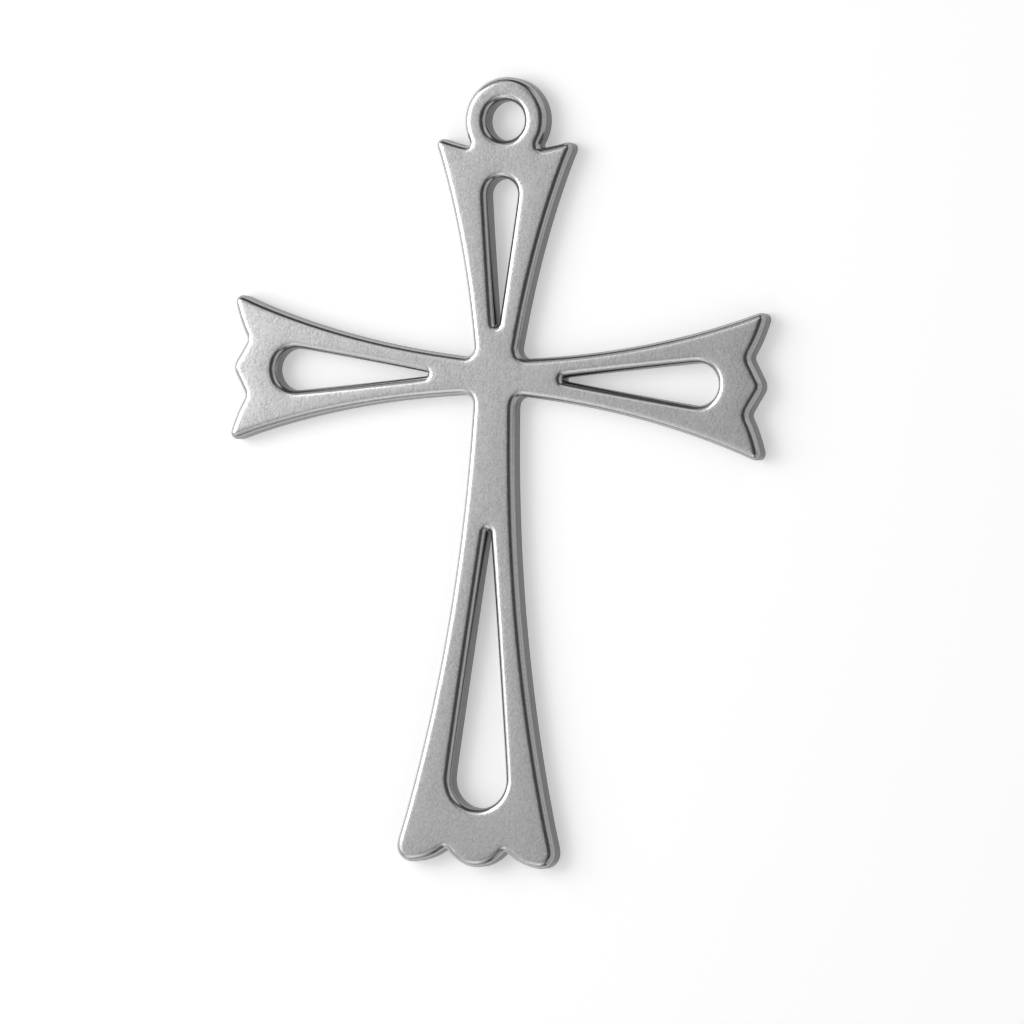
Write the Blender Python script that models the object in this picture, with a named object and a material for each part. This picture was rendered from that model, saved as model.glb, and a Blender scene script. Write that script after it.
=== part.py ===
"""A small cast metal wall cross with a hanging eye, lying on its flat back.

The cross is one seamless casting: four flared arms round a plain crossing, a
teardrop opening through each arm, and a round eye at the head. Its sides are
straight walls up from the back, and every edge of the face, inside and out,
is rolled over in a quarter round.

Frame: metres, X across the arms, Y up the cross from its foot, Z out of the
face. The back lies on Z = 0 and the foot on Y = 0 before the casting is moved
to put the origin under the middle of its box.
"""

import math

import bmesh
import bpy
import numpy as np
from mathutils.geometry import tessellate_polygon

# Overall sizes
HEIGHT = 0.120            # foot of the lower arm to the top of the eye
THICKNESS = 0.0033        # flat back to flat face
ROLL = 0.0011             # radius of the rolled edge of the face
SHARPEST = 0.00015        # least corner radius left on the face by the roll

# Crossing
CROSS_Y = 0.0745          # height of the arms' centre line
STEM_HALF = 0.0034        # half width of the upright at the crossing
ARM_HALF = 0.0028         # half width of the side arms at the crossing
CROSS_FILLET = 0.0014

# Eye at the head
EYE_RADIUS = 0.0066
EYE_HOLE = 0.0030         # radius of the straight part of the hole
EYE_Y = HEIGHT - EYE_RADIUS
EYE_TOP = math.radians(90)
EYE_FOOT = math.radians(-60)   # runs on into the head, past the corner at the neck
NECK_FILLET = 0.0005

# Outline points as (x, y); the handles are where the curves' end tangents meet
NECK = (0.0046, 0.1091)
HEAD_HANDLE = (0.0082, 0.1097)
HEAD_TIP = (0.0116, 0.1109)
HEAD_SIDE_HANDLE = (0.0058, 0.0960)
FOOT_SIDE_HANDLE = (0.0040, 0.0345)
FOOT_CORNER = (0.0135, 0.0006)
FOOT_HANDLE = (0.0087, -0.0006)
FOOT_CUSP = (0.0048, 0.0026)
LOBE_HANDLE = (0.0026, 0.0)
HEAD_TIP_FILLET = 0.0009
FOOT_FILLET = 0.0024
CUSP_FILLET = 0.0003

# Side arm, as (distance from the upright's centre line, height above the arm's)
ARM_HANDLE = (0.0254, 0.0044)
ARM_TIP = (0.0433, 0.0117)
ARM_END_HANDLE = (0.0424, 0.0074)
ARM_NOTCH = (0.0406, 0.0043)
ARM_LOBE = (0.0430, 0.0)
ARM_TIP_FILLET = 0.0010
ARM_NOTCH_FILLET = 0.0011
ARM_LOBE_FILLET = 0.0020

# Teardrop openings: the centres of their wide and narrow ends, as distances
# from the crossing along the arm, and the radii of the straight walls there
HEAD_DROP = {"wide_at": 0.0277, "wide": 0.0024, "narrow_at": 0.0081, "narrow": 0.00025}
ARM_DROP = {"wide_at": 0.0325, "wide": 0.0032, "narrow_at": 0.0113, "narrow": 0.0003}
FOOT_DROP = {"wide_at": 0.0612, "wide": 0.0044, "narrow_at": 0.0237, "narrow": 0.00025}

# How finely the round stretches are cut into facets
TRACE_STEPS = 80          # points along a curve while it is offset and trimmed
ROLL_STEPS = 4
EYE_STEPS = 48
LONG_EDGE_STEPS = 16
SHORT_EDGE_STEPS = 4
CORNER_STEPS = 6
DROP_STEPS = 20
RUN_ON = 4 * ROLL         # how far two paths are run on to find where they meet
PARALLEL = 1e-18          # stands in for the slant between two parallel stretches

METAL_COLOUR = (0.47, 0.47, 0.475, 1.0)
METAL_ROUGHNESS = 0.25
SHARP_EDGE = math.radians(40)


def clear_scene():
    for item in list(bpy.data.objects):
        bpy.data.objects.remove(item)


def curve(start, handle, end):
    """Points on the quadratic curve from start to end that is pulled to handle."""
    t = np.linspace(0.0, 1.0, TRACE_STEPS)[:, None]
    start, handle, end = np.array(start), np.array(handle), np.array(end)
    return (1 - t) ** 2 * start + 2 * t * (1 - t) * handle + t**2 * end


def straight(start, end):
    middle = (np.array(start) + np.array(end)) / 2
    return curve(start, middle, end)


def arc(centre, radius, first, last, steps):
    """Points on a circle from angle first to angle last, in radians."""
    angle = np.linspace(first, last, steps)
    return np.array(centre) + radius * np.column_stack((np.cos(angle), np.sin(angle)))


def shifted(path, distance):
    """The path moved by distance to the right of its direction of travel."""
    along = np.gradient(path, axis=0)
    along /= np.linalg.norm(along, axis=1)[:, None]
    return path + distance * np.column_stack((along[:, 1], -along[:, 0]))


def run_on(path, distance):
    """The path with a straight stretch added along each end's tangent."""
    head = path[0] - path[1]
    tail = path[-1] - path[-2]
    head *= distance / np.linalg.norm(head)
    tail *= distance / np.linalg.norm(tail)
    return np.vstack((path[0] + head, path, path[-1] + tail))


def crossing_point(first, second, near):
    """Where two paths cross, taking the crossing nearest to a point."""
    a, r = first[:-1, None], np.diff(first, axis=0)[:, None]
    b, s = second[None, :-1], np.diff(second, axis=0)[None, :]
    slant = r[..., 0] * s[..., 1] - r[..., 1] * s[..., 0]
    slant = np.where(np.abs(slant) < PARALLEL, PARALLEL, slant)
    gap = b - a
    along_first = (gap[..., 0] * s[..., 1] - gap[..., 1] * s[..., 0]) / slant
    along_second = (gap[..., 0] * r[..., 1] - gap[..., 1] * r[..., 0]) / slant
    inside = (0 <= along_first) & (along_first <= 1) & (0 <= along_second) & (along_second <= 1)
    i, j = np.nonzero(inside)
    points = first[i] + along_first[i, j][:, None] * (first[i + 1] - first[i])
    return points[np.argmin(np.linalg.norm(points - near, axis=1))]


def split_at(path, point):
    """The index of the stretch of path nearest to point, and the place on it."""
    start, along = path[:-1], np.diff(path, axis=0)
    t = ((point - start) * along).sum(1) / (along**2).sum(1)
    places = start + np.clip(t, 0, 1)[:, None] * along
    best = np.argmin(np.linalg.norm(places - point, axis=1))
    return best, places[best]


def rounded(before, after, radius):
    """Trims two paths that meet at a corner and gives the arc that joins them."""
    corner = (before[-1] + after[0]) / 2
    leaving, arriving = before[-1] - before[-2], after[1] - after[0]
    turn = np.sign(leaving[0] * arriving[1] - leaving[1] * arriving[0])
    centre = crossing_point(
        run_on(shifted(before, -turn * radius), RUN_ON),
        run_on(shifted(after, -turn * radius), RUN_ON),
        corner,
    )
    i, joint_before = split_at(run_on(before, RUN_ON), centre)
    j, joint_after = split_at(run_on(after, RUN_ON), centre)
    before = np.vstack((run_on(before, RUN_ON)[1 : i + 1], joint_before))
    after = np.vstack((joint_after, run_on(after, RUN_ON)[j + 1 : -1]))
    first = math.atan2(*(joint_before - centre)[::-1])
    last = math.atan2(*(joint_after - centre)[::-1])
    sweep = (turn * (last - first)) % (2 * math.pi)
    return before, arc(centre, radius, first, first + turn * sweep, CORNER_STEPS + 1), after


def evenly(path, steps):
    """The path cut into steps of equal length, without its last point."""
    lengths = np.r_[0, np.cumsum(np.linalg.norm(np.diff(path, axis=0), axis=1))]
    at = np.linspace(0, lengths[-1], steps + 1)[:-1]
    return np.column_stack([np.interp(at, lengths, path[:, k]) for k in (0, 1)])


def arm_edges():
    """The right arm's edges from the crossing round its end and back, each as
    (path, facets along it, radius of the corner that follows)."""

    def above(point):
        return (point[0], CROSS_Y + point[1])

    def below(point):
        return (point[0], CROSS_Y - point[1])

    root = (STEM_HALF, ARM_HALF)
    return [
        (curve(above(root), above(ARM_HANDLE), above(ARM_TIP)), LONG_EDGE_STEPS, ARM_TIP_FILLET),
        (curve(above(ARM_TIP), above(ARM_END_HANDLE), above(ARM_NOTCH)), SHORT_EDGE_STEPS,
         ARM_NOTCH_FILLET),
        (straight(above(ARM_NOTCH), above(ARM_LOBE)), SHORT_EDGE_STEPS, ARM_LOBE_FILLET),
        (straight(below(ARM_LOBE), below(ARM_NOTCH)), SHORT_EDGE_STEPS, ARM_NOTCH_FILLET),
        (curve(below(ARM_NOTCH), below(ARM_END_HANDLE), below(ARM_TIP)), SHORT_EDGE_STEPS,
         ARM_TIP_FILLET),
        (curve(below(ARM_TIP), below(ARM_HANDLE), below(root)), LONG_EDGE_STEPS, CROSS_FILLET),
    ]


def right_edges():
    """Every edge of the right half, clockwise from the top of the eye to the foot."""
    eye = arc((0, EYE_Y), EYE_RADIUS, EYE_TOP, EYE_FOOT, TRACE_STEPS)
    head_root = (STEM_HALF, CROSS_Y + ARM_HALF)
    foot_root = (STEM_HALF, CROSS_Y - ARM_HALF)
    return [
        (eye, EYE_STEPS // 2, NECK_FILLET),
        (curve(NECK, HEAD_HANDLE, HEAD_TIP), SHORT_EDGE_STEPS, HEAD_TIP_FILLET),
        (curve(HEAD_TIP, HEAD_SIDE_HANDLE, head_root), LONG_EDGE_STEPS, CROSS_FILLET),
        *arm_edges(),
        (curve(foot_root, FOOT_SIDE_HANDLE, FOOT_CORNER), LONG_EDGE_STEPS, FOOT_FILLET),
        (curve(FOOT_CORNER, FOOT_HANDLE, FOOT_CUSP), SHORT_EDGE_STEPS, CUSP_FILLET),
        (curve(FOOT_CUSP, LOBE_HANDLE, (0.0, 0.0)), SHORT_EDGE_STEPS, None),
    ]


def outline(inset):
    """The whole outline moved inwards by inset. Each inset gives as many points."""
    half = []
    edges = right_edges()
    current = shifted(edges[0][0], inset)
    for (_, steps, radius), (following, _, _) in zip(edges, edges[1:]):
        following = shifted(following, inset)
        leaving, arriving = current[-1] - current[-2], following[1] - following[0]
        hollow = leaving[0] * arriving[1] - leaving[1] * arriving[0] > 0
        radius = radius + inset if hollow else max(radius - inset, SHARPEST)
        current, corner, following = rounded(current, following, radius)
        half += [evenly(current, steps), corner[:-1]]
        current = following
    half.append(evenly(current, edges[-1][1]))
    half.append(current[-1:])
    right = np.vstack(half)
    left = right[-2:0:-1] * (-1, 1)
    return np.vstack((right, left))


def teardrop(drop, direction, outset):
    """A teardrop opening, widened by outset: two round ends joined by tangents."""
    along = np.array(direction, float)
    start = math.atan2(along[1], along[0])
    wide, narrow = drop["wide"] + outset, drop["narrow"] + outset
    length = drop["wide_at"] - drop["narrow_at"]
    tilt = math.acos((wide - narrow) / length)
    middle = np.array((0.0, CROSS_Y))
    wide_end = arc(middle + along * drop["wide_at"], wide,
                   start - (math.pi - tilt), start + (math.pi - tilt), DROP_STEPS + 1)
    narrow_end = arc(middle + along * drop["narrow_at"], narrow,
                     start + (math.pi - tilt), start + (math.pi + tilt), DROP_STEPS // 2 + 1)
    return np.vstack((wide_end, narrow_end))


def openings(outset):
    """Each opening's outline, widened by outset."""
    eye = arc((0, EYE_Y), EYE_HOLE + outset, 0, 2 * math.pi, EYE_STEPS + 1)[:-1]
    return [
        eye,
        teardrop(HEAD_DROP, (0, 1), outset),
        teardrop(ARM_DROP, (1, 0), outset),
        teardrop(ARM_DROP, (-1, 0), outset),
        teardrop(FOOT_DROP, (0, -1), outset),
    ]


def levels():
    """Heights up the side and over the roll, each with how far the roll has come in."""
    found = [(0.0, 0.0)]
    for step in range(ROLL_STEPS + 1):
        angle = step / ROLL_STEPS * math.pi / 2
        rise = THICKNESS - ROLL + ROLL * math.sin(angle)
        found.append((rise, ROLL * (1 - math.cos(angle))))
    return found


def cross_mesh():
    """The casting as one closed mesh: loops at each level, bridged and capped."""
    mesh = bmesh.new()
    stack = []
    for height, inset in levels():
        loops = [outline(inset), *openings(inset)]
        stack.append([[mesh.verts.new((x, y, height)) for x, y in loop] for loop in loops])
    for lower, upper in zip(stack, stack[1:]):
        for low, high in zip(lower, upper):
            for k in range(len(low)):
                n = (k + 1) % len(low)
                mesh.faces.new((low[k], low[n], high[n], high[k]))
    for loops in (stack[0], stack[-1]):
        corners = [vert for loop in loops for vert in loop]
        outlines = [[vert.co for vert in loop] for loop in loops]
        for triangle in tessellate_polygon(outlines):
            mesh.faces.new([corners[k] for k in triangle])
    bmesh.ops.recalc_face_normals(mesh, faces=mesh.faces)
    return mesh


def cast_metal():
    material = bpy.data.materials.new("cast_metal")
    material.use_nodes = True
    shader = material.node_tree.nodes["Principled BSDF"]
    shader.inputs["Base Color"].default_value = METAL_COLOUR
    shader.inputs["Metallic"].default_value = 1.0
    shader.inputs["Roughness"].default_value = METAL_ROUGHNESS
    material.diffuse_color = METAL_COLOUR
    return material


def main():
    clear_scene()
    data = bpy.data.meshes.new("cross")
    mesh = cross_mesh()
    bmesh.ops.translate(mesh, verts=mesh.verts, vec=(0.0, -HEIGHT / 2, 0.0))
    mesh.to_mesh(data)
    mesh.free()
    data.shade_smooth()
    data.set_sharp_from_angle(angle=SHARP_EDGE)
    data.materials.append(cast_metal())
    cross = bpy.data.objects.new("cross", data)
    bpy.context.scene.collection.objects.link(cross)


main()
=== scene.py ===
"""The looks of the cast metal cross: a finer casting, its satin metal, a pale floor
and soft light, seen from the photograph's angle."""
import math

import bmesh
import bpy
import numpy as np
from mathutils import Matrix, Vector, noise
from mathutils.geometry import delaunay_2d_cdt


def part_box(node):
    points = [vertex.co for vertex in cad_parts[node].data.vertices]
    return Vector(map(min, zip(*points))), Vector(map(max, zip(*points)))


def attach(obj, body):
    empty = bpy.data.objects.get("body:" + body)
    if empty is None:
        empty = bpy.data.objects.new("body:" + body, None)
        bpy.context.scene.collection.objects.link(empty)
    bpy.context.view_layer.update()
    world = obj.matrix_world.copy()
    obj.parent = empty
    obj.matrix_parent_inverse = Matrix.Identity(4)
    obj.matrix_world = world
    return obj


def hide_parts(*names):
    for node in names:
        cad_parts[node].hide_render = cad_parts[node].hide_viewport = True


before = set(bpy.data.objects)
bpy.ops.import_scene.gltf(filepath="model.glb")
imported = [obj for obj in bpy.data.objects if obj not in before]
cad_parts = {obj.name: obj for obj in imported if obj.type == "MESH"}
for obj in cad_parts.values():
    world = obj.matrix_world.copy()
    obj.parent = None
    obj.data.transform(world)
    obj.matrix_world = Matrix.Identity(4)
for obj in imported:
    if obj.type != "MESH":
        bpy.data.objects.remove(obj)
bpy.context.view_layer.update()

NODE = "cross"
LOW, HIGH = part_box(NODE)
THICKNESS = HIGH.z - LOW.z

# Camera: turned to the right of the face, tipped and rolled a little
CAMERA_DISTANCE = 1.2
CAMERA_YAW = math.radians(20.0)
CAMERA_PITCH = math.radians(0.44)
CAMERA_ROLL = math.radians(-2.36)
CAMERA_SHIFT = Vector((-0.00229, 0.00602, 0.0))   # the part's place in the camera's view
CAMERA_LENS = 277.5
CAMERA_SENSOR = 36.0
CAMERA_CLIP = (0.05, 20.0)

# Casting
BACK_RADIUS = 0.00015     # softened edge round the back
SOFT_ROLL = 0.0012        # the rolled edge runs on into the face with this radius
CROWN = 0.00003           # how far the whole edge lies below the middle of the face
CROWN_REACH = 0.0022
ROLL_STEPS = 10
BACK_STEPS = 2
FINE = 0.0006             # longest stretch left between two points of a ring
GRID = 0.0006             # spacing of the face's inner points
GRID_ROW = 0.866 * GRID   # spacing of their rows, as in equal-sided triangles
ROWS = (0.0002, 0.00045)  # distances of the first rows of inner points from the edge
ROW_SHARE = 0.9           # a row's point nearer than this share to any edge is left out
SMOOTHING = 3             # passes that even out the ridges of the narrow bars
STEEP = 0.0002            # a point beside a step as high as this isn't smoothed
UNDULATION = 0.000012     # how far the cast faces dip
UNDULATION_SIZE = 0.006

# Tolerances
HEIGHT_DECIMALS = 6       # the CAD's heights are told apart to this many decimals
SAME_HEIGHT = 1e-6
SAME_POINT = 1e-7
SAME_CORNER = 1e-9        # for the triangulation
WELD = 2e-6               # ring points closer than this are joined
FLAT = 0.9999             # a face whose normal's Z is over this lies level
TINY = 1e-12              # keeps a zero length from being divided by

# Metal
METAL_DARK = (0.51, 0.51, 0.515, 1.0)      # in the grain's hollows
METAL_LIGHT = (0.59, 0.59, 0.595, 1.0)     # on its crests
METAL_DULL = (0.53, 0.53, 0.53, 1.0)       # in faint patches
# painted shade: a dark tone on the walls and the outer rolled edge that stands for the shaded
# floor they reflect, as well as for their as-cast skin
WALL_SHADE_COLOUR = (0.21, 0.21, 0.21, 1.0)
FACE_ROUGHNESS = 0.27
EDGE_ROUGHNESS = 0.12
WALL_ROUGHNESS = 0.32
PEBBLE_ROUGHNESS = (-0.02, 0.03)   # what the pebbles add to the roughness, from and to
EDGE_GRAIN = 0.3          # how much of the face's grain is left on the rolled edges
GRAIN_SIZE = 0.00042
GRAIN_DEPTH = 0.000018
GRAIN_DETAIL = 2.0
PEBBLE_SIZE = 0.0012
PEBBLE_DEPTH = 0.000008
PEBBLE_DETAIL = 3.0
PATCH_SIZE = 0.004
PATCH_DETAIL = 4.0
PATCH_SHARE = 0.4         # the most of the dull colour that a patch takes

# Where a finish begins and is full, by how squarely the surface faces up
FACE_LEVELS = (0.93, 0.995)
# the walls' rougher finish, and their painted shade, which runs onto the outer part of the
# rolled edge
WALL_LEVELS = (0.80, 0.25)
# Where a noise's lowest and highest tones lie
GRAIN_LEVELS = (0.38, 0.62)
PEBBLE_LEVELS = (0.3, 0.7)
PATCH_LEVELS = (0.4, 0.7)

# Sockets of a Mix node, whose names repeat for each kind of value
MIX_PART = 0
MIX_NUMBERS = (2, 3)
MIX_NUMBER_OUT = 0
MIX_COLOURS = (6, 7)
MIX_COLOUR_OUT = 2

# Floor
FLOOR_SIZE = 3.0
FLOOR_COLOUR = (0.92, 0.92, 0.92, 1.0)
FLOOR_ROUGHNESS = 0.9
FLOOR_GLOW = 0.37         # lit from below a little, like a light table
WHITE = (1.0, 1.0, 1.0, 1.0)

# Light: a dim tent with soft panels, given by direction, and two lamps close by
TENT = 0.09
BACKDROP = 0.82           # what the camera itself sees beyond the floor
# (azimuth, elevation, radius of the even middle, radius of the edge, light)
PANELS = (
    (180.0, 3.0, 8.0, 40.0, 0.30),      # along the lamps' side, low
    (180.0, 35.0, 6.0, 30.0, 1.15),
    (180.0, 66.0, 6.0, 26.0, 0.28),     # what the face reflects to the camera
    (0.0, 0.0, 6.0, 34.0, 0.28),        # the far side from the lamps
    (0.0, 26.0, 6.0, 28.0, 0.40),
    (105.0, 55.0, 6.0, 20.0, 0.50),     # over the head
    (-105.0, 50.0, 6.0, 24.0, 0.50),    # over the foot
    (-110.0, 15.0, 8.0, 34.0, 0.40),
    (45.0, 18.0, 8.0, 34.0, 0.62),      # the four corners
    (135.0, 38.0, 8.0, 34.0, 0.50),
    (225.0, 35.0, 8.0, 36.0, 0.60),
    (315.0, 20.0, 8.0, 36.0, 0.50),
)
LAMP_SIZE = (0.29, 0.33)
# (place, light)
LAMPS = (
    (Vector((-0.29, 0.09, 0.21)), 1.90),
    (Vector((-0.23, 0.02, 0.34)), 0.25),
)


def camera():
    """A long lens, turned about the part, which is then moved across its view."""
    yaw = Matrix.Rotation(-CAMERA_YAW, 3, "Y")
    pitch = Matrix.Rotation(CAMERA_PITCH, 3, "X")
    roll = Matrix.Rotation(CAMERA_ROLL, 3, "Z")
    to_camera = roll @ pitch @ yaw
    offset = CAMERA_SHIFT - Vector((0.0, 0.0, CAMERA_DISTANCE))
    data = bpy.data.cameras.new("camera")
    data.lens = CAMERA_LENS
    data.sensor_width = CAMERA_SENSOR
    data.clip_start, data.clip_end = CAMERA_CLIP
    seen = bpy.data.objects.new("camera", data)
    seen.matrix_world = Matrix.Translation(-(to_camera.transposed() @ offset)) @ (
        to_camera.transposed().to_4x4()
    )
    bpy.context.scene.collection.objects.link(seen)
    bpy.context.scene.camera = seen


# The casting's rings, read from the CAD node

def closed_loops(edges):
    """Chains edges, given as pairs of vertices, into closed lists of vertices."""
    beside = {}
    for a, b in edges:
        beside.setdefault(a, []).append(b)
        beside.setdefault(b, []).append(a)
    loops = []
    while beside:
        loop = [min(beside, key=lambda vert: vert.index)]
        while True:
            following = [vert for vert in beside.pop(loop[-1]) if vert in beside]
            if not following:
                break
            loop.append(following[0])
        loops.append(loop)
    return loops


def ring_edges(mesh, height):
    """The edges at one height that bound a wall or the rolled edge."""
    found = []
    for edge in mesh.edges:
        if any(abs(vert.co.z - height) > SAME_HEIGHT for vert in edge.verts):
            continue
        if not all(abs(face.normal.z) > FLAT for face in edge.link_faces):
            found.append(tuple(edge.verts))
    return found


def nearest_on(loop, points):
    """The place on a closed loop that is nearest to each of the points."""
    start = loop[None]
    along = np.roll(loop, -1, axis=0)[None] - start
    offset = points[:, None] - start
    t = np.clip((offset * along).sum(2) / (along**2).sum(2), 0.0, 1.0)
    places = start + t[..., None] * along
    best = np.linalg.norm(places - points[:, None], axis=2).argmin(1)
    return places[np.arange(len(points)), best]


def flat_outlines(loops):
    """Loops of vertices as arrays of their places, seen from above."""
    return [np.array([vert.co.xy for vert in loop]) for loop in loops]


def cad_levels():
    """The heights of the CAD's rings, and the outlines found at each."""
    mesh = bmesh.new()
    mesh.from_mesh(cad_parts[NODE].data)
    bmesh.ops.remove_doubles(mesh, verts=mesh.verts, dist=SAME_POINT)
    mesh.verts.index_update()
    mesh.normal_update()
    heights = sorted({round(vert.co.z, HEIGHT_DECIMALS) for vert in mesh.verts})
    levels = [flat_outlines(closed_loops(ring_edges(mesh, height))) for height in heights]
    mesh.free()
    return heights, levels


def cad_rings():
    """The CAD's roll, the insets of its rings, and for the outline and each opening
    the places that its points move through as they come in with the rolled edge."""
    heights, levels = cad_levels()
    roll = THICKNESS - heights[1]
    insets = [roll - math.sqrt(max(roll**2 - (height - heights[1]) ** 2, 0.0))
              for height in heights[1:]]
    paths = []
    for loop in levels[1]:
        path = [loop]
        for level in levels[2:]:
            moved = [nearest_on(other, path[-1]) for other in level]
            path.append(min(moved, key=lambda places: np.abs(places - path[-1]).sum()))
        paths.append(refined(np.array(path)))
    return roll, insets, paths


def blend(first, second, start, end, t):
    """The place between two, of which the first is met at start and the second at end."""
    return ((end - t) * first + (t - start) * second) / (end - start)


def on_curve(near, knots, t):
    """A place on the smooth curve through four points, between the middle two
    (a centripetal Catmull-Rom curve)."""
    a, b, c = (blend(near[n], near[n + 1], knots[n], knots[n + 1], t) for n in range(3))
    before = blend(a, b, knots[0], knots[2], t)
    after = blend(b, c, knots[1], knots[3], t)
    return blend(before, after, knots[1], knots[2], t)


def refined_ring(ring, counts):
    """A ring with each of its stretches cut into counts pieces along a smooth curve."""
    points = []
    for k, count in enumerate(counts):
        near = [ring[(k + n) % len(ring)] for n in (-1, 0, 1, 2)]
        knots = [0.0]
        for first, second in zip(near, near[1:]):
            knots.append(knots[-1] + max(np.linalg.norm(second - first), SAME_POINT) ** 0.5)
        for step in range(count):
            t = knots[1] + (knots[2] - knots[1]) * step / count
            points.append(on_curve(near, knots, t))
    return np.clip(points, LOW.xy, HIGH.xy)


def refined(path):
    """The path's rings with points added, as many to each ring as the first one needs."""
    lengths = np.linalg.norm(np.roll(path[0], -1, axis=0) - path[0], axis=1)
    counts = np.maximum(np.ceil(lengths / FINE).astype(int), 1)
    return np.array([refined_ring(ring, counts) for ring in path])


def at_inset(path, insets, inset):
    """A loop's points when the edge has come in by inset."""
    k = int(np.clip(np.searchsorted(insets, inset) - 1, 0, len(insets) - 2))
    part = (inset - insets[k]) / (insets[k + 1] - insets[k])
    return path[k] + part * (path[k + 1] - path[k])


def drop(inset):
    """How far the casting's face lies below its top, at a distance in from its side."""
    short = np.maximum(SOFT_ROLL - inset, 0.0)
    rolled = SOFT_ROLL - np.sqrt(SOFT_ROLL**2 - short**2)
    return rolled + CROWN * np.exp(-((inset / CROWN_REACH) ** 2))


def profile(roll):
    """Heights and insets from the back, up the wall and over the rolled edge."""
    found = []
    for step in range(BACK_STEPS + 1):
        angle = step / BACK_STEPS * math.pi / 2
        height = BACK_RADIUS * (1 - math.cos(angle))
        found.append((height, BACK_RADIUS * (1 - math.sin(angle))))
    last = math.acos(1 - roll / SOFT_ROLL)
    for step in range(ROLL_STEPS + 1):
        inset = SOFT_ROLL * (1 - math.cos(step / ROLL_STEPS * last))
        found.append((THICKNESS - drop(inset), inset))
    return found


# The face's triangles

def inside(points, loops):
    """Which points are in the metal: inside an odd number of the loops."""
    odd = np.zeros(len(points), bool)
    for loop in loops:
        ahead = np.roll(loop, -1, axis=0)
        for (x0, y0), (x1, y1) in zip(loop, ahead):
            if y0 == y1:
                continue
            spans = (points[:, 1] >= min(y0, y1)) & (points[:, 1] < max(y0, y1))
            crossing = x0 + (points[:, 1] - y0) / (y1 - y0) * (x1 - x0)
            odd ^= spans & (points[:, 0] < crossing)
    return odd


def clearance(points, loops):
    """The distance from each point to the nearest of the loops."""
    return np.min([np.linalg.norm(nearest_on(loop, points) - points, axis=1)
                   for loop in loops], axis=0)


def row_beside(loop, loops, row):
    """Points at a distance in from one loop, one for each of its stretches."""
    ahead = np.roll(loop, -1, axis=0)
    along = ahead - loop
    along /= np.linalg.norm(along, axis=1)[:, None] + TINY
    middles = (loop + ahead) / 2
    side = np.column_stack((-along[:, 1], along[:, 0])) * row
    beside = np.vstack((middles + side, middles - side))
    beside = beside[inside(beside, loops)]
    return beside[clearance(beside, loops) > ROW_SHARE * row]


def inner_points(loops):
    """Points over the face: an even spread, and rows just inside each edge."""
    x, y = np.meshgrid(np.arange(LOW.x, HIGH.x, GRID), np.arange(LOW.y, HIGH.y, GRID_ROW))
    x[1::2] += GRID / 2
    spread = np.column_stack((x.ravel(), y.ravel()))
    spread = spread[inside(spread, loops)]
    found = [spread[clearance(spread, loops) > ROWS[-1] + GRID / 2]]
    for row in ROWS:
        for loop in loops:
            found.append(row_beside(loop, loops, row))
    return np.vstack(found)


def triangulated(loops, extra):
    """The Delaunay triangles in the metal between loops of vertices, through the extra
    points as well: the places, the triangles, and which input points each place is."""
    points = [vert.co.xy for loop in loops for vert in loop]
    edges, first = [], 0
    for loop in loops:
        count = len(loop)
        edges += [(first + k, first + (k + 1) % count) for k in range(count)]
        first += count
    points += [Vector(point) for point in extra]
    places, _, triangles, origins, _, _ = delaunay_2d_cdt(points, edges, [], 0, SAME_CORNER)
    middles = [sum((places[k] for k in tri), Vector((0, 0))) / 3 for tri in triangles]
    kept = inside(np.array(middles), flat_outlines(loops))
    return places, [tri for tri, keep in zip(triangles, kept) if keep], origins


def cap(mesh, loops, extra, height):
    """Fills between loops of vertices with triangles, through the extra points."""
    verts = [vert for loop in loops for vert in loop]
    places, triangles, origins = triangulated(loops, extra)
    made = {}
    for triangle in triangles:
        corner = []
        for k in triangle:
            source = [n for n in origins[k] if n < len(verts)]
            if source:
                corner.append(verts[source[0]])
                continue
            if k not in made:
                made[k] = mesh.verts.new((places[k].x, places[k].y, height))
            corner.append(made[k])
        if len(set(corner)) == 3:
            mesh.faces.new(corner)


def neighbours(vert):
    return [edge.other_vert(vert) for edge in vert.link_edges]


def smooth_face(face):
    """Evens out the heights of the face's points, except at a steep step."""
    inner = [vert for vert in face if not vert.is_boundary and len(vert.link_edges) > 2
             and all(abs(other.co.z - vert.co.z) < STEEP for other in neighbours(vert))]
    for _ in range(SMOOTHING):
        levels = [sum(other.co.z for other in neighbours(vert)) / len(vert.link_edges)
                  for vert in inner]
        for vert, level in zip(inner, levels):
            vert.co.z = (vert.co.z + level) / 2


def shape_face(face, loops, roll):
    """Crowns the face towards its edges, and lets it dip a little here and there."""
    places = np.array([vert.co.xy for vert in face])
    inset = roll + clearance(places, loops)
    for vert, below in zip(face, drop(inset)):
        dip = noise.noise(vert.co / UNDULATION_SIZE) * 0.5 + 0.5
        vert.co.z = THICKNESS - below - UNDULATION * dip
    smooth_face(face)


def wall(mesh, roll, insets, paths):
    """The side of the casting and of its openings, from the back to the face."""
    stack = []
    for height, inset in profile(roll):
        loops = [at_inset(path, insets, inset) for path in paths]
        stack.append([[mesh.verts.new((x, y, height)) for x, y in loop] for loop in loops])
    for lower, upper in zip(stack, stack[1:]):
        for low, high in zip(lower, upper):
            for k in range(len(low)):
                n = (k + 1) % len(low)
                mesh.faces.new((low[k], low[n], high[n], high[k]))
    bmesh.ops.remove_doubles(mesh, verts=mesh.verts, dist=WELD)
    mesh.verts.index_update()


def open_loops(mesh, height):
    """The loops of open edges at one height."""
    return closed_loops([
        tuple(edge.verts) for edge in mesh.edges
        if edge.is_boundary and abs(edge.verts[0].co.z - height) < SAME_POINT
    ])


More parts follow.
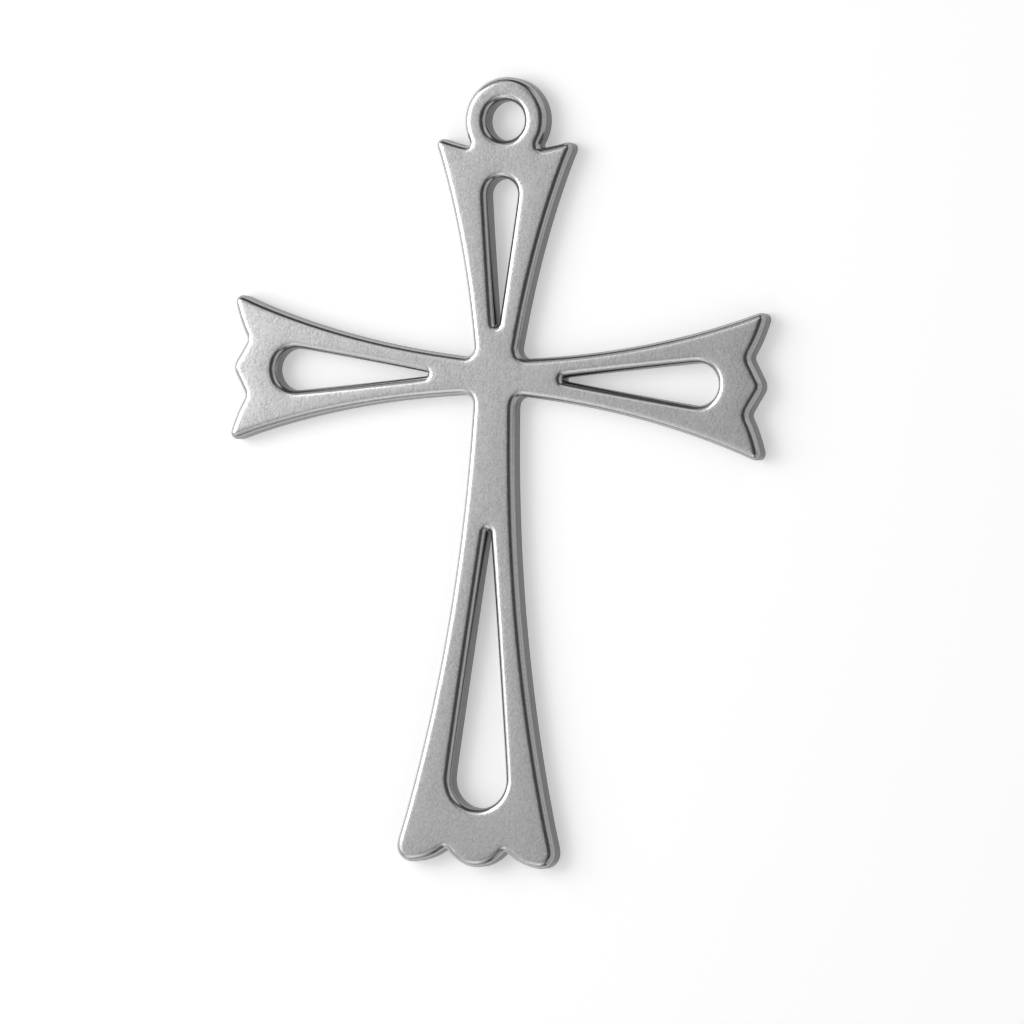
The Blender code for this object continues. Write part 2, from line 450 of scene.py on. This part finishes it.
def casting_mesh():
    """The CAD's casting with a rounder edge, a softened back edge and a finer face."""
    roll, insets, paths = cad_rings()
    mesh = bmesh.new()
    wall(mesh, roll, insets, paths)
    top = profile(roll)[-1][0]
    cap(mesh, open_loops(mesh, 0.0), [], 0.0)
    rim = open_loops(mesh, top)
    outlines = flat_outlines(rim)
    cap(mesh, rim, inner_points(outlines), top)
    face = [vert for vert in mesh.verts if abs(vert.co.z - top) < SAME_POINT]
    shape_face(face, outlines, roll)
    bmesh.ops.recalc_face_normals(mesh, faces=mesh.faces)
    data = bpy.data.meshes.new("casting")
    mesh.to_mesh(data)
    mesh.free()
    data.shade_smooth()
    return data


def casting():
    """The visible casting, which stands for the CAD node."""
    piece = bpy.data.objects.new("casting", casting_mesh())
    bpy.context.scene.collection.objects.link(piece)
    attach(piece, "root")
    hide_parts(NODE)
    return piece


# Materials

def new_material(name):
    material = bpy.data.materials.new(name)
    material.use_nodes = True
    tree = material.node_tree
    return material, tree, tree.nodes["Principled BSDF"]


def noise_at(tree, size, detail):
    """A noise with features of the given size in metres."""
    place = tree.nodes.new("ShaderNodeTexCoord")
    texture = tree.nodes.new("ShaderNodeTexNoise")
    texture.inputs["Scale"].default_value = 1 / size
    texture.inputs["Detail"].default_value = detail
    tree.links.new(place.outputs["Object"], texture.inputs["Vector"])
    return texture.outputs["Fac"]


def ramp(tree, value, levels, result=(0.0, 1.0)):
    """Maps a value between two levels to a value between two results."""
    node = tree.nodes.new("ShaderNodeMapRange")
    node.inputs["From Min"].default_value, node.inputs["From Max"].default_value = levels
    node.inputs["To Min"].default_value, node.inputs["To Max"].default_value = result
    tree.links.new(value, node.inputs["Value"])
    return node.outputs["Result"]


def bump(tree, height, depth, strength, below=None):
    node = tree.nodes.new("ShaderNodeBump")
    tree.links.new(strength, node.inputs["Strength"])
    node.inputs["Distance"].default_value = depth
    tree.links.new(height, node.inputs["Height"])
    if below:
        tree.links.new(below, node.inputs["Normal"])
    return node.outputs["Normal"]


def mix(tree, part, first, second):
    """A colour between two, which may be constants or node outputs."""
    node = tree.nodes.new("ShaderNodeMix")
    node.data_type = "RGBA"
    tree.links.new(part, node.inputs[MIX_PART])
    for slot, value in zip(MIX_COLOURS, (first, second)):
        if isinstance(value, tuple):
            node.inputs[slot].default_value = value
        else:
            tree.links.new(value, node.inputs[slot])
    return node.outputs[MIX_COLOUR_OUT]


def added(tree, first, second):
    node = tree.nodes.new("ShaderNodeMath")
    node.operation = "ADD"
    tree.links.new(first, node.inputs[0])
    tree.links.new(second, node.inputs[1])
    return node.outputs[0]


def upward(tree):
    """How squarely the surface faces up or down: 1 on the face, 0 on the walls."""
    place = tree.nodes.new("ShaderNodeTexCoord")
    split = tree.nodes.new("ShaderNodeSeparateXYZ")
    size = tree.nodes.new("ShaderNodeMath")
    size.operation = "ABSOLUTE"
    tree.links.new(place.outputs["Normal"], split.inputs["Vector"])
    tree.links.new(split.outputs["Z"], size.inputs[0])
    return size.outputs[0]


def metal_colour(tree, grain, on_wall):
    """Lighter on the grain's crests, duller in patches, and with painted shade on the walls
    and the outer rolled edge.
    """
    tone = mix(tree, ramp(tree, grain, GRAIN_LEVELS), METAL_DARK, METAL_LIGHT)
    patch = noise_at(tree, PATCH_SIZE, PATCH_DETAIL)
    tone = mix(tree, ramp(tree, patch, PATCH_LEVELS, (0.0, PATCH_SHARE)), tone, METAL_DULL)
    # painted shade over the walls and the outer rolled edge
    return mix(tree, on_wall, tone, WALL_SHADE_COLOUR)


def metal_roughness(tree, pebble, on_face, on_wall):
    """Smooth on the rolled edges, rougher on the face and the walls."""
    least, most = PEBBLE_ROUGHNESS
    rough = ramp(tree, pebble, PEBBLE_LEVELS, (EDGE_ROUGHNESS + least, EDGE_ROUGHNESS + most))
    for place, own in ((on_face, FACE_ROUGHNESS), (on_wall, WALL_ROUGHNESS)):
        more = ramp(tree, place, (0.0, 1.0), (0.0, own - EDGE_ROUGHNESS))
        rough = added(tree, rough, more)
    return rough


def cast_metal():
    """Cast metal: a satin grained face, burnished rolled edges, rough walls darkened with
    painted shade.
    """
    material, tree, shader = new_material("cast_metal_satin")
    shader.inputs["Metallic"].default_value = 1.0
    grain = noise_at(tree, GRAIN_SIZE, GRAIN_DETAIL)
    pebble = noise_at(tree, PEBBLE_SIZE, PEBBLE_DETAIL)
    level = upward(tree)
    on_face = ramp(tree, level, FACE_LEVELS)
    on_wall = ramp(tree, level, WALL_LEVELS)
    tree.links.new(metal_colour(tree, grain, on_wall), shader.inputs["Base Color"])
    rough = metal_roughness(tree, pebble, on_face, on_wall)
    tree.links.new(rough, shader.inputs["Roughness"])
    strength = ramp(tree, on_face, (0.0, 1.0), (EDGE_GRAIN, 1.0))
    normal = bump(tree, pebble, PEBBLE_DEPTH, strength)
    normal = bump(tree, grain, GRAIN_DEPTH, strength, normal)
    tree.links.new(normal, shader.inputs["Normal"])
    return material


# Studio

def floor():
    """A plain pale floor that glows a little."""
    bpy.ops.mesh.primitive_plane_add(size=FLOOR_SIZE, location=(0.0, 0.0, LOW.z))
    ground = bpy.context.object
    ground.name = "floor"
    material, _, shader = new_material("floor_pale")
    shader.inputs["Base Color"].default_value = FLOOR_COLOUR
    shader.inputs["Roughness"].default_value = FLOOR_ROUGHNESS
    shader.inputs["Specular IOR Level"].default_value = 0.0
    shader.inputs["Emission Color"].default_value = WHITE
    shader.inputs["Emission Strength"].default_value = FLOOR_GLOW
    ground.data.materials.append(material)


def direction(azimuth, elevation):
    """Azimuth counts from +X towards +Y, in degrees."""
    a, e = math.radians(azimuth), math.radians(elevation)
    return Vector((math.cos(a) * math.cos(e), math.sin(a) * math.cos(e), math.sin(e)))


def panel_light(tree, place, azimuth, elevation, middle, edge, light):
    """The light of one soft round panel: even in its middle, and none past its edge."""
    towards = tree.nodes.new("ShaderNodeVectorMath")
    towards.operation = "DOT_PRODUCT"
    towards.inputs[1].default_value = direction(azimuth, elevation)
    tree.links.new(place.outputs["Generated"], towards.inputs[0])
    panel = tree.nodes.new("ShaderNodeMapRange")
    panel.interpolation_type = "SMOOTHERSTEP"
    panel.inputs["From Min"].default_value = math.cos(math.radians(edge))
    panel.inputs["From Max"].default_value = math.cos(math.radians(middle))
    panel.inputs["To Max"].default_value = light
    tree.links.new(towards.outputs["Value"], panel.inputs["Value"])
    return panel.outputs["Result"]


def panels_light(tree):
    """The tent's own light and that of all its panels."""
    place = tree.nodes.new("ShaderNodeTexCoord")
    total = None
    for panel in PANELS:
        add = tree.nodes.new("ShaderNodeMath")
        add.operation = "ADD"
        add.inputs[0].default_value = TENT
        tree.links.new(panel_light(tree, place, *panel), add.inputs[1])
        if total:
            tree.links.new(total, add.inputs[0])
        total = add.outputs[0]
    return total


def tent():
    """Lights the scene from the panels, and shows the camera an even backdrop instead."""
    world = bpy.data.worlds.new("tent")
    bpy.context.scene.world = world
    world.use_nodes = True
    tree = world.node_tree
    background = tree.nodes["Background"]
    background.inputs["Color"].default_value = WHITE
    path = tree.nodes.new("ShaderNodeLightPath")
    seen = tree.nodes.new("ShaderNodeMix")
    around, shown = MIX_NUMBERS
    tree.links.new(path.outputs["Is Camera Ray"], seen.inputs[MIX_PART])
    tree.links.new(panels_light(tree), seen.inputs[around])
    seen.inputs[shown].default_value = BACKDROP
    tree.links.new(seen.outputs[MIX_NUMBER_OUT], background.inputs["Strength"])


def lamps():
    """Wide soft lamps on the upper left, close by."""
    for number, (place, light) in enumerate(LAMPS):
        data = bpy.data.lights.new(f"lamp_{number}", "AREA")
        data.shape = "RECTANGLE"
        data.size, data.size_y = LAMP_SIZE
        data.energy = light * math.pi * data.size * data.size_y
        lamp = bpy.data.objects.new(f"lamp_{number}", data)
        lamp.location = place
        lamp.rotation_mode = "QUATERNION"
        lamp.rotation_quaternion = place.to_track_quat("Z", "Y")
        lamp.visible_camera = False
        bpy.context.scene.collection.objects.link(lamp)


camera()
piece = casting()
piece.data.materials.append(cast_metal())
floor()
tent()
lamps()
bpy.context.scene.view_settings.view_transform = "Standard"
